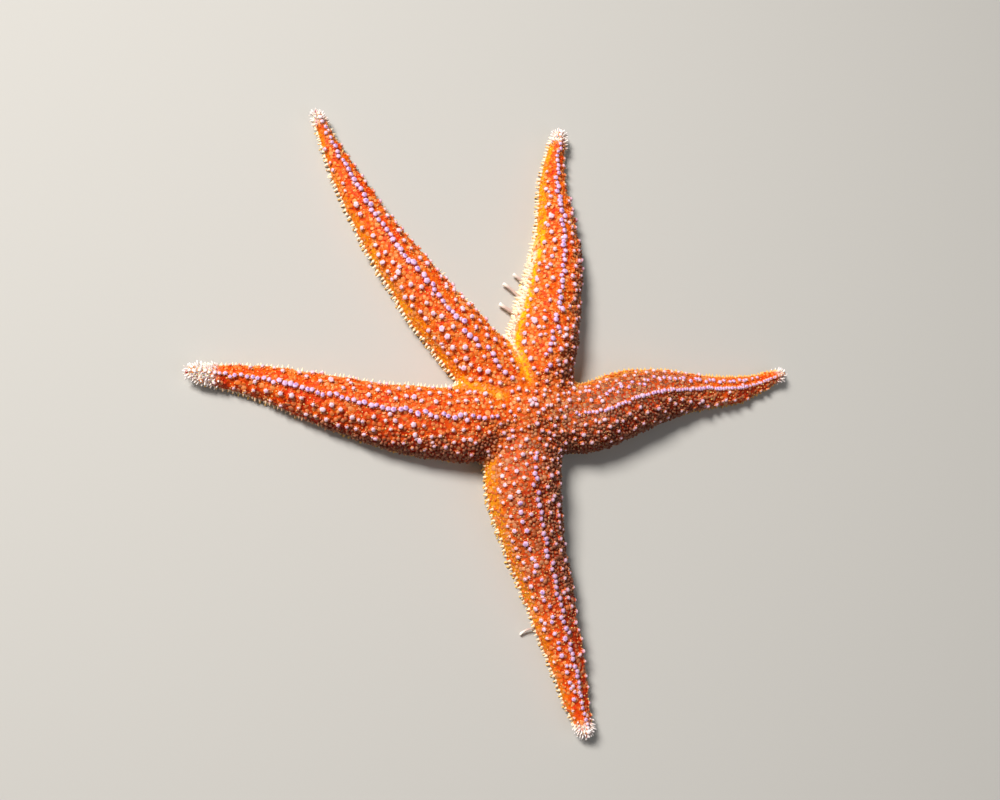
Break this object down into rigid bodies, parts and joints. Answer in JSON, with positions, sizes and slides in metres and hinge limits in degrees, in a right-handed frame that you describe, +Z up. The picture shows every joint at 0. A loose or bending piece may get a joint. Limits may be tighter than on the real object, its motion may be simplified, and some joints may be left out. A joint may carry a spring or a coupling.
{
  "type": "starfish",
  "caption": "Common starfish with tapering, gently bent arms, knobbed spines above and grooves with tube feet below, lying flat.",
  "frame": {"origin": "on the floor, under the middle of the bounding box", "axes": "+Z up from the floor, +Y towards the gap between the first and second arms, +X to the right of that"},
  "size_m": [0.1748, 0.1714, 0.015],
  "materials": {
    "skin": "moist, granular, orange mottled with red",
    "spine": "satin calcite, lilac white",
    "papula": "moist, translucent, brownish pink",
    "tube_foot": "moist, translucent, cream",
    "pale_flesh": "moist, cream to pale orange",
    "sieve_plate": "matte, finely grooved, cream yellow",
    "eyespot": "moist, red"
  },
  "bodies": {
    "root": {"disc": "skin", "mouth": "pale_flesh", "madreporite": "sieve_plate", "arm_1_base": "skin", "arm_1_middle": "skin", "arm_1_tip": "skin", "arm_2_base": "skin", "arm_2_middle": "skin", "arm_2_tip": "skin", "arm_3_base": "skin", "arm_3_middle": "skin", "arm_3_tip": "skin", "arm_4_base": "skin", "arm_4_middle": "skin", "arm_4_tip": "skin", "arm_5_base": "skin", "arm_5_middle": "skin", "arm_5_tip": "skin"}
  },
  "joints": []
}
